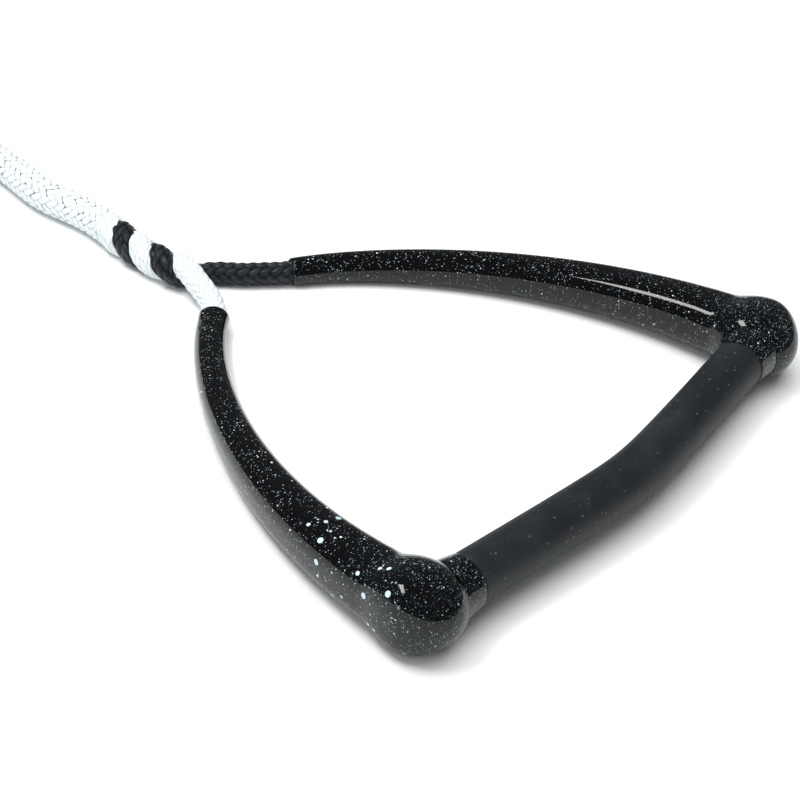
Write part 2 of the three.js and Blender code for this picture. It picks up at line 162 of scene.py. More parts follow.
# Moulded nitrile rubber, and natural nylon with a faint cloudiness.
for slot_name, colour, other, rough, pieces in (
    ("plug_rubber", PLUG_COLOUR, "#1E1E20", 0.7, ("bar_plug_left", "bar_plug_right")),
    ("bush_nylon", BUSH_COLOUR, "#C4BFAF", 0.42, ("rope_bush_left", "rope_bush_right")),
):
    moulded = patterned_finish(
        slot_name, "ShaderNodeTexNoise", {"Scale": 180.0, "Detail": 4.0}, (colour, other), 0.05,
        Roughness=rough,
    )
    for node_name in pieces:
        finish_node(node_name, moulded)


# ---------------------------------------------------------------- grip
# A moulded rubber sleeve is drawn over the tube and follows its bend. The rubber is matt
# bluish black with a few pale flecks, and its two end edges are rounded.
GRIP_RADIUS = 14.0
COLLAR_FROM, COLLAR_TO = 14.0, 28.0
GRIP_COLOUR = "#1A1D20"
GRIP_BLOOM = "#24282B"
GRIP_FLECK = "#7C898D"

BULB_Y = BAR_LEAN * (math.hypot(HALF_SPAN, BEND_LENGTH) - BEND_LENGTH)
BAR_END_ANGLE = math.atan(BAR_LEAN * HALF_SPAN / math.hypot(HALF_SPAN, BEND_LENGTH))


def closed_skin(rings, ends="fan"):
    """Rings of points joined by quads. Its ends are fans to their centres, or join each other."""
    rings = np.asarray(rings, float)
    count, around = rings.shape[:2]
    points = rings.reshape(-1, 3)
    step = np.arange(around)
    after = (step + 1) % around
    faces = []
    for i in range(count if ends == "joined" else count - 1):
        low, high = i * around, ((i + 1) % count) * around
        faces.extend(np.stack([low + step, low + after, high + after, high + step], 1).tolist())
    if ends == "fan":
        last = (count - 1) * around
        points = np.vstack([points, rings[0].mean(0), rings[-1].mean(0)])
        first_centre, last_centre = len(points) - 2, len(points) - 1
        faces.extend([first_centre, int(b), int(a)] for a, b in zip(step, after))
        faces.extend([last_centre, int(last + a), int(last + b)] for a, b in zip(step, after))
    return points, faces


def new_piece(name, points, faces, material=None):
    """A smooth mesh object at the origin, from points in millimetres, its faces outward."""
    points = np.asarray(points, float)
    corners = [(f[0], f[k], f[k + 1]) for f in faces for k in range(1, len(f) - 1)]
    a, b, c = (points[np.array(corners)[:, k]] for k in range(3))
    if np.einsum("ij,ij->i", a, np.cross(b, c)).sum() < 0:
        faces = [f[::-1] for f in faces]
    mesh = bpy.data.meshes.new(name)
    mesh.from_pydata((points * MM).tolist(), [], faces)
    mesh.polygons.foreach_set("use_smooth", [True] * len(mesh.polygons))
    mesh.update()
    piece = bpy.data.objects.new(name, mesh)
    bpy.context.scene.collection.objects.link(piece)
    if material:
        mesh.materials.append(material)
    return piece


# The handle is drawn flat, then tipped about X until the bulbs and the arm tips lie on the
# ground. A bush's middle is a bar end, and gives the place of the flat drawing.
BULB_BACK, BULB_AHEAD = 24.6, 2.6
BULB_HALF = {"outer": 19.8, "inner": 22.0, "height": 20.6}
FOOT_FLAT = 0.4
TIP_FOOT = 8.0
ARM_BEND_POINTS = ((150.0, 0.0), (154.5, 116.0), (84.0, 209.5), (32.2, 244.8))
ARM_ROOT_HALF = {"outer": 20.4, "inner": 17.8, "height": 16.6}
ARM_TIP_HALF = {"outer": 9.0, "inner": 8.6, "height": 8.0}
ARM_FALL = {"outer": 2.2, "inner": 1.75, "height": 1.0}
RIM_ROUND = 1.6


def arm_table(side):
    """Points along the arm's line, one per row, with the distance and heading at each."""
    t = np.linspace(0, 1, 801)[:, None]
    p = [np.array((side * x, BULB_Y + y, 0.0)) for x, y in ARM_BEND_POINTS]
    line = (
        (1 - t) ** 3 * p[0] + 3 * t * (1 - t) ** 2 * p[1] + 3 * t**2 * (1 - t) * p[2] + t**3 * p[3]
    )
    run = np.concatenate([[0], np.cumsum(np.linalg.norm(np.diff(line, axis=0), axis=1))])
    heading = np.gradient(line, run, axis=0)
    return run, line, heading / np.linalg.norm(heading, axis=1)[:, None]


ARM_LENGTH = arm_table(1)[0][-1]


def eased_max(a, b):
    return (a**6 + b**6) ** (1 / 6)


def arm_half(which, distance):
    left = 1 - max(distance, 0) / ARM_LENGTH
    tip = ARM_TIP_HALF[which]
    return tip + (ARM_ROOT_HALF[which] - tip) * left ** ARM_FALL[which]


def outline_half(which, distance):
    bulge = math.sqrt(max(0, 1 - ((distance - BULB_AHEAD) / BULB_BACK) ** 2))
    if distance < BULB_AHEAD:
        return bulge * eased_max(BULB_HALF[which], arm_half(which, BULB_AHEAD))
    rounded = max(0, RIM_ROUND - (ARM_LENGTH - distance))
    rim = RIM_ROUND - math.sqrt(RIM_ROUND**2 - rounded**2)
    return eased_max(bulge * BULB_HALF[which], arm_half(which, distance)) - rim


tip_drop = FOOT_FLAT / 2 - ARM_TIP_HALF["height"]
bulb_drop = FOOT_FLAT - outline_half("height", BULB_AHEAD)
TIP_DOWN = math.atan2(tip_drop - bulb_drop, ARM_BEND_POINTS[3][1] - TIP_FOOT - BULB_AHEAD)
bush_low, bush_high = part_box("rope_bush_left")
bar_end = np.array((bush_low + bush_high) / 2) / MM
TIP_COS, TIP_SIN = math.cos(TIP_DOWN), math.sin(TIP_DOWN)
HANDLE_MOVE = (bar_end[1] - TIP_COS * BULB_Y, bar_end[2] + TIP_SIN * BULB_Y)


def tip_down(points):
    """Points of the flat drawing, moved to where the handle lies."""
    x, y, z = np.moveaxis(np.asarray(points, float), -1, 0)
    return np.stack(
        [x, TIP_COS * y + TIP_SIN * z + HANDLE_MOVE[0], TIP_COS * z - TIP_SIN * y + HANDLE_MOVE[1]],
        -1,
    )


def along_bar(x_radius_pairs, around=96):
    """Rings round the bar's line, one for each pair of a place along X and a radius."""
    rings = []
    angle = np.linspace(0, 2 * math.pi, around, endpoint=False)
    for x, radius in x_radius_pairs:
        lean = math.atan(BAR_LEAN * x / math.hypot(x, BEND_LENGTH))
        across = np.array((-math.sin(lean), math.cos(lean), 0))
        centre = np.array((x, BAR_LEAN * (math.hypot(x, BEND_LENGTH) - BEND_LENGTH), 0))
        up = np.array((0, 0, 1.0))
        rings.append(
            centre + radius * (np.outer(np.cos(angle), across) + np.outer(np.sin(angle), up))
        )
    return rings


# Moulded rubber: roughness about 0.6, IOR 1.52, a greyish bloom in patches some 12 mm wide,
# and flecks 0.3 mm across, drawn a little larger than they are so that they show.
grip_rubber, tree, surface = start_material("grip_rubber", IOR=1.52, Specular_IOR_Level=0.35)
place = add_node(tree, "ShaderNodeTexCoord").outputs["Object"]
bloom = add_node(tree, "ShaderNodeTexNoise", {"Vector": place, "Scale": 45.0, "Detail": 3.0})
fine = add_node(tree, "ShaderNodeTexNoise", {"Vector": place, "Scale": 900.0, "Detail": 2.0})
bloomed = add_node(
    tree,
    "ShaderNodeMapRange",
    {"Value": bloom.outputs[0], "From Min": 0.42, "From Max": 0.72},
)
tint = add_node(
    tree,
    "ShaderNodeMix",
    {0: bloomed.outputs[0], 6: linear(GRIP_COLOUR), 7: linear(GRIP_BLOOM)},
    data_type="RGBA",
)
flecks = add_node(tree, "ShaderNodeTexVoronoi", {"Vector": place, "Scale": 420.0})
chance = add_node(tree, "ShaderNodeSeparateColor", {0: flecks.outputs["Color"]})
size = add_node(
    tree,
    "ShaderNodeMapRange",
    {"Value": chance.outputs[0], "From Min": 0.72, "From Max": 1.0, "To Max": 0.34},
)
inside = add_node(
    tree,
    "ShaderNodeMath",
    {0: size.outputs[0], 1: flecks.outputs["Distance"]},
    operation="SUBTRACT",
)
shown = add_node(
    tree,
    "ShaderNodeMapRange",
    {"Value": inside.outputs[0], "From Max": 0.12, "To Max": 0.3},
)
tint = add_node(
    tree,
    "ShaderNodeMix",
    {0: shown.outputs[0], 6: tint.outputs[2], 7: linear(GRIP_FLECK)},
    data_type="RGBA",
)
dull = add_node(
    tree,
    "ShaderNodeMapRange",
    {"Value": bloom.outputs[0], "To Min": 0.48, "To Max": 0.7},
)
tree.links.new(tint.outputs[2], surface.inputs["Base Color"])
tree.links.new(dull.outputs[0], surface.inputs["Roughness"])
bump = add_node(tree, "ShaderNodeBump", {"Height": fine.outputs[0], "Distance": 0.06 * MM})
tree.links.new(bump.outputs[0], surface.inputs["Normal"])

grip_half = HALF_SPAN - (COLLAR_TO + FIT) * math.cos(BAR_END_ANGLE)
edge = 0.8
profile = []
for k in range(7):
    turn = math.pi / 2 * k / 6
    reach = grip_half - edge * (1 - math.sin(turn))
    profile.append((reach, GRIP_RADIUS - edge * (1 - math.cos(turn))))
outer_run = [(x, GRIP_RADIUS) for x in np.linspace(-grip_half + edge, grip_half - edge, 120)]
inner_run = [(x, TUBE_RADIUS + FIT) for x in np.linspace(grip_half, -grip_half, 60)]
grip_loop = [(-x, r) for x, r in profile[::-1]] + outer_run[1:-1] + profile + inner_run
points, faces = closed_skin(along_bar(grip_loop), ends="joined")
grip = new_piece("grip_rubber_sleeve", tip_down(points), faces, grip_rubber)
grip.data.set_sharp_from_angle(angle=math.radians(50))
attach(grip, "handle")
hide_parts("grip_sleeve")


# ---------------------------------------------------------------- arms
# Each arm is one hollow moulding: a round bulb on the bar's end that runs into a curved arm,
# flat on its outer side, and narrows to an open tip. It is gloss black with pale splatter.
GLOSS_BLACK = "#050506"
OUTER_SQUARENESS, INNER_SQUARENESS = 1.3, 0.6
CHANNEL_RADIUS = 7.2
BUSH_WALL, EYE_THICKNESS = 1.8, 5.0
BUSH_RADIUS = TUBE_RADIUS + FIT + BUSH_WALL
EYE_RADIUS = BUSH_RADIUS + FIT + EYE_THICKNESS
BULB_GRIP_RADII = {"bulb": 16.6, "grip": 14.7, "round": 1.2}


def smooth(value, low, high):
    t = min(1, max(0, (value - low) / (high - low)))
    return t * t * (3 - 2 * t)


def arm_place(table, distance):
    """A point on the arm's line and its heading. Behind the bulb's middle the line is straight."""
    run, line, heading = table
    within = min(max(distance, 0), ARM_LENGTH)
    point = np.array([np.interp(within, run, line[:, k]) for k in range(3)])
    along = np.array([np.interp(within, run, heading[:, k]) for k in range(3)])
    along /= np.linalg.norm(along)
    return point + along * (distance - within), along


def arm_section(table, side, distance, around=128):
    point, along = arm_place(table, distance)
    outward = np.array((side * along[1], -side * along[0], 0))
    left = 1 - distance / ARM_LENGTH
    squareness = {
        "outer": 2 + OUTER_SQUARENESS * left * smooth(distance, -BULB_BACK, BULB_AHEAD),
        "inner": 2 + INNER_SQUARENESS * left * smooth(distance, 0, BULB_BACK * 1.5),
    }
    half = {which: outline_half(which, distance) for which in ("outer", "inner", "height")}
    ring = []
    for angle in np.linspace(0, 2 * math.pi, around, endpoint=False):
        face = "outer" if math.cos(angle) > 0 else "inner"
        power = 2 / squareness[face]
        across = math.copysign(abs(math.cos(angle)) ** power, math.cos(angle)) * half[face]
        up = math.copysign(abs(math.sin(angle)) ** power, math.sin(angle)) * half["height"]
        ring.append(point + outward * across + np.array((0, 0, up)))
    return ring


def on_bar_end(profile, side, around=96, closed=True):
    """A profile of (radius, height) pairs turned about the bar's end, heights pointing out."""
    angle = np.linspace(0, 2 * math.pi, around, endpoint=False)
    turn = side * (BAR_END_ANGLE - math.pi / 2)
    rings = []
    for radius, height in profile:
        x, z = radius * np.cos(angle), radius * np.sin(angle)
        ring = np.stack(
            [
                x * math.cos(turn) - height * math.sin(turn) + side * HALF_SPAN,
                x * math.sin(turn) + height * math.cos(turn) + BULB_Y,
                z,
            ],
            -1,
        )
        rings.append(ring)
    return closed_skin(rings, ends="joined" if closed else "fan")


def collar_profile(extra, steps=8):
    inner = TUBE_RADIUS + FIT - extra
    low, top = -COLLAR_TO - extra, -COLLAR_FROM + extra
    corner = BULB_GRIP_RADII["round"]
    loop = [(inner, low)]
    for k in range(steps + 1):
        turn = math.pi / 2 * k / steps
        radius = BULB_GRIP_RADII["grip"] + extra - corner * (1 - math.sin(turn))
        loop.append((radius, low + corner * (1 - math.cos(turn))))
    return loop + [(BULB_GRIP_RADII["bulb"] + extra, top), (inner, top)]


def cut_away(piece, cutters):
    """Takes the cutters' bodies out of a piece and removes them."""
    for cutter in cutters:
        step = piece.modifiers.new("cut", "BOOLEAN")
        step.operation, step.solver, step.object = "DIFFERENCE", "MANIFOLD", cutter
    depsgraph = bpy.context.evaluated_depsgraph_get()
    shape = bpy.data.meshes.new_from_object(piece.evaluated_get(depsgraph))
    piece.modifiers.clear()
    piece.data = shape
    for cutter in cutters:
        bpy.data.objects.remove(cutter)


def add_specks(tree, place, cell_mm, chance_from, largest, edge, seed):
    """Round specks, one at most in each cell: 1 inside a speck and 0 outside."""
    moved = add_node(tree, "ShaderNodeMapping", {"Vector": place, "Location": (seed, seed, seed)})
    cells = add_node(
        tree, "ShaderNodeTexVoronoi", {"Vector": moved.outputs[0], "Scale": 1 / (cell_mm * MM)}
    )
    luck = add_node(tree, "ShaderNodeSeparateColor", {0: cells.outputs["Color"]})
    radius = add_node(
        tree,
        "ShaderNodeMapRange",
        {"Value": luck.outputs[0], "From Min": chance_from, "From Max": 1.0, "To Max": largest},
    )
    inside = add_node(
        tree,
        "ShaderNodeMath",
        {0: radius.outputs[0], 1: cells.outputs["Distance"]},
        operation="SUBTRACT",
    )
    return add_node(
        tree, "ShaderNodeMapRange", {"Value": inside.outputs[0], "From Max": edge}
    ).outputs[0]


# Gloss polyurethane paint, IOR 1.46, over a black moulding. White paint is flicked on: dust
# up to 0.6 mm wide, specks to 1.5 mm, and a grey-green mist near the bulbs.
speckled_gloss, tree, surface = start_material(
    "speckled_gloss", Roughness=0.06, IOR=1.46, Specular_IOR_Level=0.38
)
place = add_node(tree, "ShaderNodeTexCoord").outputs["Object"]
wander = add_node(tree, "ShaderNodeTexNoise", {"Vector": place, "Scale": 700.0, "Detail": 1.0})
shift = add_node(
    tree,
    "ShaderNodeVectorMath",
    {0: wander.outputs["Color"], 1: (0.0007, 0.0007, 0.0007)},
    operation="MULTIPLY",
)
ragged = add_node(
    tree, "ShaderNodeVectorMath", {0: place, 1: shift.outputs[0]}, operation="ADD"
).outputs[0]
patches = add_node(tree, "ShaderNodeTexNoise", {"Vector": place, "Scale": 38.0, "Detail": 2.0})
spot = add_node(tree, "ShaderNodeSeparateXYZ", {0: place})
near_bulb = add_node(
    tree,
    "ShaderNodeMapRange",
    {"Value": spot.outputs["Y"], "From Min": -0.035, "From Max": -0.095},
)
mist_share = add_node(
    tree,
    "ShaderNodeMath",
    {0: near_bulb.outputs[0], 1: patches.outputs[0]},
    operation="MULTIPLY",
)
# Round drops of 1 to 4 mm, thrown on the left arm's outer face beside its bulb.
splash_middle = tuple(tip_down([(-HALF_SPAN - 22.0, BULB_Y + 42.0, -6.0)])[0] * MM)
from_splash = add_node(
    tree, "ShaderNodeVectorMath", {0: place, 1: splash_middle}, operation="DISTANCE"
)
splash = add_node(
    tree,
    "ShaderNodeMapRange",
    {"Value": from_splash.outputs["Value"], "From Min": 0.06, "From Max": 0.03},
)
layers = (
    ("#54696D", add_specks(tree, ragged, 0.6, 0.35, 0.55, 0.30, 0.11), mist_share.outputs[0], 0.44),
    ("#A3B4B8", add_specks(tree, ragged, 0.9, 0.36, 0.36, 0.12, 0.27), patches.outputs[0], 0.38),
    ("#D3DDDF", add_specks(tree, ragged, 2.0, 0.52, 0.24, 0.08, 0.43), patches.outputs[0], 0.38),
    ("#F0F5F5", add_specks(tree, ragged, 5.0, 0.62, 0.15, 0.03, 0.71), patches.outputs[0], 0.36),
    ("#C4DCE4", add_specks(tree, place, 6.0, 0.20, 0.34, 0.03, 0.93), splash.outputs[0], 0.50),
)
colour = None
for shade, specks, share, least in layers:
    allowed = add_node(
        tree,
        "ShaderNodeMapRange",
        {"Value": share, "From Min": least - 0.12, "From Max": least + 0.08},
    )
    mask = add_node(
        tree, "ShaderNodeMath", {0: specks, 1: allowed.outputs[0]}, operation="MULTIPLY"
    )
    colour = add_node(
        tree,
        "ShaderNodeMix",
        {0: mask.outputs[0], 6: colour or linear(GLOSS_BLACK), 7: linear(shade)},
        data_type="RGBA",
    ).outputs[2]
tree.links.new(colour, surface.inputs["Base Color"])

for side, label in ((-1, "left"), (1, "right")):
    table = arm_table(side)
    behind = [BULB_AHEAD - BULB_BACK * math.cos(math.pi / 2 * k / 40) for k in range(1, 41)]
    ahead = np.linspace(BULB_AHEAD, ARM_LENGTH - RIM_ROUND, 200)[1:]
    rim = [ARM_LENGTH - RIM_ROUND * (1 - math.sin(math.pi / 2 * k / 8)) for k in range(1, 9)]
    distances = [BULB_AHEAD - BULB_BACK + 0.005, *behind, *ahead, *rim]
    points, faces = closed_skin([arm_section(table, side, d) for d in distances])
    arm = new_piece(f"arm_moulding_{label}", tip_down(points), faces, speckled_gloss)

    tube_end, bush_end, eye_end = 10 + FIT, 10 + FIT, 7 + FIT
    pocket = BULB_HALF["inner"] + 10
    rods = (
        (TUBE_RADIUS + FIT, -pocket, tube_end),
        (BUSH_RADIUS + FIT, -bush_end, bush_end),
        (EYE_RADIUS + FIT, -eye_end, eye_end),
    )
    cutters = []
    for radius, low, high in rods:
        points, faces = on_bar_end([(radius, low), (radius, high)], side, closed=False)
        cutters.append(new_piece("cutter", tip_down(points), faces))
    points, faces = on_bar_end(collar_profile(FIT), side)
    cutters.append(new_piece("cutter", tip_down(points), faces))
    rings = []
    turn = np.linspace(0, 2 * math.pi, 64, endpoint=False)
    for distance in np.linspace(TUBE_RADIUS + 4.9, ARM_LENGTH + 2, 90):
        point, along = arm_place(table, distance)
        outward = np.array((along[1], -along[0], 0))
        flare = 0.5 * smooth(distance, ARM_LENGTH - 1.5, ARM_LENGTH)
        ring = np.outer(np.cos(turn), outward) + np.outer(np.sin(turn), (0, 0, 1))
        rings.append(point + (CHANNEL_RADIUS + flare) * ring)
    points, faces = closed_skin(rings)
    cutters.append(new_piece("cutter", tip_down(points), faces))
    ground = np.array([[(x, y, z) for x, y in ((-1, -1), (1, -1), (1, 1), (-1, 1))] for z in (-40, 0)])
    points, faces = closed_skin(ground * (400, 400, 1))
    cutters.append(new_piece("cutter", points, faces))
    cut_away(arm, cutters)
    arm.data.set_sharp_from_angle(angle=math.radians(38))
    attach(arm, "handle")
    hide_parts(f"arm_{label}")


# ---------------------------------------------------------------- collars
# A turned ring of the same speckled gloss closes the joint between each bulb and the grip.
# It flares towards the bulb and has a rounded edge where it meets the rubber.
for side, label in ((-1, "left"), (1, "right")):
    points, faces = on_bar_end(collar_profile(0), side)
    collar = new_piece(f"collar_ring_{label}", tip_down(points), faces, speckled_gloss)
    collar.data.set_sharp_from_angle(angle=math.radians(38))
    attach(collar, "handle")
    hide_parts(f"collar_{label}")


# ---------------------------------------------------------------- ropes
# Hollow-braided polyethylene rope, 13 mm across. A white leg and a black leg come out of the
# arms and twist together. The white one then swallows the black one's tail, grows fat over
# it, and runs on as the tow line.
LEG_IN_ARM = 22.0
TWIST_PITCH = 32.5
TWIST_FRONT = (201.5, 138.0)
TWIST_RADIUS = 4.9
TWIST_AXIS = np.array(
    (
        (-13.6, 160, 10.5), (-14, 168, 10.5), (-14.6, 174, 10.5), (-17, 184, 10.5),
        (-17.8, 194, 10.5), (-17.4, 204, 10.5), (-16, 215, 10.5), (-14.2, 228, 10.4),
        (-12.2, 241, 10.2),
    )
)
WHITE_LEG = [(-23.4, 145.6, 9.3), (-21.4, 152.8, 11.5), (-19.6, 160, 13.2), (-17.6, 166.4, 14.6)]
BLACK_LEG = [
    (18.4, 145.4, 7.0), (11.2, 152.2, 6.9), (5.2, 159.8, 6.8), (-0.6, 166.9, 6.6), (-7.4, 172.6, 5.9),
]
SPLICE = [
    (-12.2, 241, 10.2), (-11, 255, 10.2), (-11.6, 268, 10.2), (-13.2, 281, 10.2),
    (-13.4, 293, 10.2), (-11.6, 306, 10.2), (-8.9, 320, 10.2), (-6.8, 334, 10.2),
    (-4.9, 348, 10.2), (-3.5, 360, 10.0), (-2.9, 371.4, 9.2),
]
LEAD = [(-2.7, 388, 7.5), (-2.7, 400, 6.8)]
FILAMENTS, FILAMENT_SHARE = 5, 0.12
# Crown colours are the ropes' own; each rope's second, darker colour is painted shade for the gaps
# between strands. CORE_FLECK is the black core showing through the splice.
WHITE_CROWN, WHITE_GAP_PAINTED_SHADE, CORE_FLECK = "#E8EEEF", "#B6C1C6", "#2A2E33"
BLACK_CROWN, BLACK_GAP_PAINTED_SHADE = "#08090B", "#020203"


def twist_direction(y, start):
    """The way from the twist's middle to a strand, which turns as a right-handed screw."""
    angle = math.radians(TWIST_FRONT[1] - 360 * (y - TWIST_FRONT[0]) / TWIST_PITCH + start)
    return np.array((math.cos(angle), 0, math.sin(angle)))


def twist_points(y_values, start, fade_from=1000.0, fade_to=1001.0):
    middle = [np.array((*[np.interp(y, TWIST_AXIS[:, 1], TWIST_AXIS[:, 0])], y,
                        np.interp(y, TWIST_AXIS[:, 1], TWIST_AXIS[:, 2]))) for y in y_values]
    return [
        m + TWIST_RADIUS * (1 - smooth(y, fade_from, fade_to)) * twist_direction(y, start)
        for m, y in zip(middle, y_values)
    ]


def smooth_line(points, step):
    """A smooth line through the points, as rows of points a step apart."""
    points = np.array(points, float)
    run = np.concatenate([[0], np.cumsum(np.linalg.norm(np.diff(points, axis=0), axis=1))])
    slope = np.gradient(points, run, axis=0)
    t = np.linspace(0, run[-1], 40 * len(points))
    k = np.clip(np.searchsorted(run, t, side="right") - 1, 0, len(run) - 2)
    gap = (run[k + 1] - run[k])[:, None]
    u = ((t - run[k])[:, None]) / gap
    line = (
        (2 * u**3 - 3 * u**2 + 1) * points[k]
        + (u**3 - 2 * u**2 + u) * gap * slope[k]
        + (3 * u**2 - 2 * u**3) * points[k + 1]
        + (u**3 - u**2) * gap * slope[k + 1]
    )
    run = np.concatenate([[0], np.cumsum(np.linalg.norm(np.diff(line, axis=0), axis=1))])
    even = np.linspace(0, run[-1], max(2, round(run[-1] / step)))
    return np.stack([np.interp(even, run, line[:, k]) for k in range(3)], 1)


def unit(vector):
    return vector / np.linalg.norm(vector)


def rope_rings(line, radii, given, around):
    """Rings round a line. radii holds two half widths for each ring: along its first
    direction and across it. given says that direction where it is fixed, by ring number."""
    heading = np.gradient(line, axis=0)
    heading /= np.linalg.norm(heading, axis=1)[:, None]
    first = [None] * len(line)
    for i, wanted in given.items():
        first[i] = unit(wanted - heading[i] * np.dot(wanted, heading[i]))
    fixed = sorted(given)
    for i in range(fixed[0] - 1, -1, -1):
        first[i] = unit(first[i + 1] - heading[i] * np.dot(first[i + 1], heading[i]))
    for i in range(fixed[0], len(line)):
        if first[i] is None:
            first[i] = unit(first[i - 1] - heading[i] * np.dot(first[i - 1], heading[i]))
    angle = np.linspace(0, 2 * math.pi, around, endpoint=False)
    rings = []
    for point, ahead, one, (a, b) in zip(line, heading, first, radii):
        two = np.cross(ahead, one)
        rings.append(point + a * np.outer(np.cos(angle), one) + b * np.outer(np.sin(angle), two))
    return rings


def braid_height(tree, along, around, strands):
    """Height of a two-over, two-under braid: 1 on a strand's crown and 0 in the gaps. along
    counts crossings down the rope and around is the share of a turn. Works in any tree."""
    spread = add_node(tree, "ShaderNodeMath", {0: around, 1: strands}, operation="MULTIPLY")
    one = add_node(
        tree, "ShaderNodeMath", {0: spread.outputs[0], 1: along}, operation="ADD"
    ).outputs[0]
    two = add_node(
        tree, "ShaderNodeMath", {0: spread.outputs[0], 1: along}, operation="SUBTRACT"
    ).outputs[0]
    whole, part = [], []
    for family in (one, two):
        whole.append(add_node(tree, "ShaderNodeMath", {0: family}, operation="FLOOR").outputs[0])
        part.append(add_node(tree, "ShaderNodeMath", {0: family}, operation="FRACT").outputs[0])
    both = add_node(tree, "ShaderNodeMath", {0: whole[0], 1: whole[1]}, operation="ADD")
    turn = add_node(
        tree, "ShaderNodeMath", {0: both.outputs[0], 1: 4.0}, operation="FLOORED_MODULO"
    ).outputs[0]
    first_on_top = add_node(
        tree, "ShaderNodeMath", {0: turn, 1: 1.5}, operation="LESS_THAN"
    ).outputs[0]
    across = add_node(tree, "ShaderNodeMix", {0: first_on_top, 2: part[1], 3: part[0]})
    behind = add_node(tree, "ShaderNodeMath", {0: turn, 1: 2.0}, operation="SUBTRACT")
    run_start = add_node(
        tree, "ShaderNodeMix", {0: first_on_top, 2: behind.outputs[0], 3: turn}
    )
    run_part = add_node(tree, "ShaderNodeMix", {0: first_on_top, 2: part[0], 3: part[1]})
    run = add_node(
        tree,
        "ShaderNodeMath",
        {0: run_start.outputs[0], 1: run_part.outputs[0]},
        operation="ADD",
    )
    bow = add_node(
        tree, "ShaderNodeMath", {0: run.outputs[0], 1: math.pi / 2}, operation="MULTIPLY"
    )
    arch = add_node(tree, "ShaderNodeMath", {0: bow.outputs[0]}, operation="SINE")
    swing = add_node(
        tree, "ShaderNodeMath", {0: across.outputs[0], 1: math.pi}, operation="MULTIPLY"
    )
    crown = add_node(tree, "ShaderNodeMath", {0: swing.outputs[0]}, operation="SINE")
    rounded = add_node(
        tree, "ShaderNodeMath", {0: crown.outputs[0], 1: 0.6}, operation="POWER"
    )
    dipped = add_node(
        tree, "ShaderNodeMath", {0: arch.outputs[0], 1: 0.7, 2: 0.3}, operation="MULTIPLY_ADD"
    )
    height = add_node(
        tree,
        "ShaderNodeMath",
        {0: rounded.outputs[0], 1: dipped.outputs[0]},
        operation="MULTIPLY",
    )
    return height.outputs[0], across.outputs[0]


# The braid's relief: a plain tube's points move out where a strand crosses over and in at
# the gaps between strands.
braid_tree = bpy.data.node_groups.new("braid_relief", "GeometryNodeTree")
for label, kind in (
    ("Geometry", "Geometry"),
    ("Strands each way", "Float"),
    ("Relief", "Float"),
    ("Finish", "Material"),
):
    braid_tree.interface.new_socket(label, in_out="INPUT", socket_type=f"NodeSocket{kind}")
braid_tree.interface.new_socket("Geometry", in_out="OUTPUT", socket_type="NodeSocketGeometry")
given = add_node(braid_tree, "NodeGroupInput")
along = add_node(braid_tree, "GeometryNodeInputNamedAttribute", {"Name": "crossings"})
around = add_node(braid_tree, "GeometryNodeInputNamedAttribute", {"Name": "share_of_turn"})
height, _ = braid_height(
    braid_tree, along.outputs[0], around.outputs[0], given.outputs["Strands each way"]
)
level = add_node(braid_tree, "ShaderNodeMath", {0: height, 1: 0.62}, operation="SUBTRACT")
push = add_node(
    braid_tree,
    "ShaderNodeMath",
    {0: level.outputs[0], 1: given.outputs["Relief"]},
    operation="MULTIPLY",
)
outward = add_node(braid_tree, "GeometryNodeInputNormal")
offset = add_node(
    braid_tree,
    "ShaderNodeVectorMath",
    {0: outward.outputs[0], "Scale": push.outputs[0]},
    operation="SCALE",
)
moved = add_node(
    braid_tree,
    "GeometryNodeSetPosition",
    {"Geometry": given.outputs["Geometry"], "Offset": offset.outputs[0]},
)
real = add_node(braid_tree, "GeometryNodeRealizeInstances", {0: moved.outputs[0]})
finished = add_node(
    braid_tree,
    "GeometryNodeSetMaterial",
    {"Geometry": real.outputs[0], "Material": given.outputs["Finish"]},
)
add_node(braid_tree, "NodeGroupOutput", {0: finished.outputs[0]})


def run_tree(piece, node_tree, **values):
    """Applies a node tree to a piece, with its inputs set by their identifiers."""
    step = piece.modifiers.new("made", "NODES")
    step.node_group = node_tree
    for item in node_tree.interface.items_tree:
        if item.in_out == "INPUT" and item.name in values:
            step[item.identifier] = values[item.name]
    depsgraph = bpy.context.evaluated_depsgraph_get()
    shape = bpy.data.meshes.new_from_object(piece.evaluated_get(depsgraph))
    piece.modifiers.clear()
    piece.data = shape
    piece.data.polygons.foreach_set("use_smooth", [True] * len(shape.polygons))


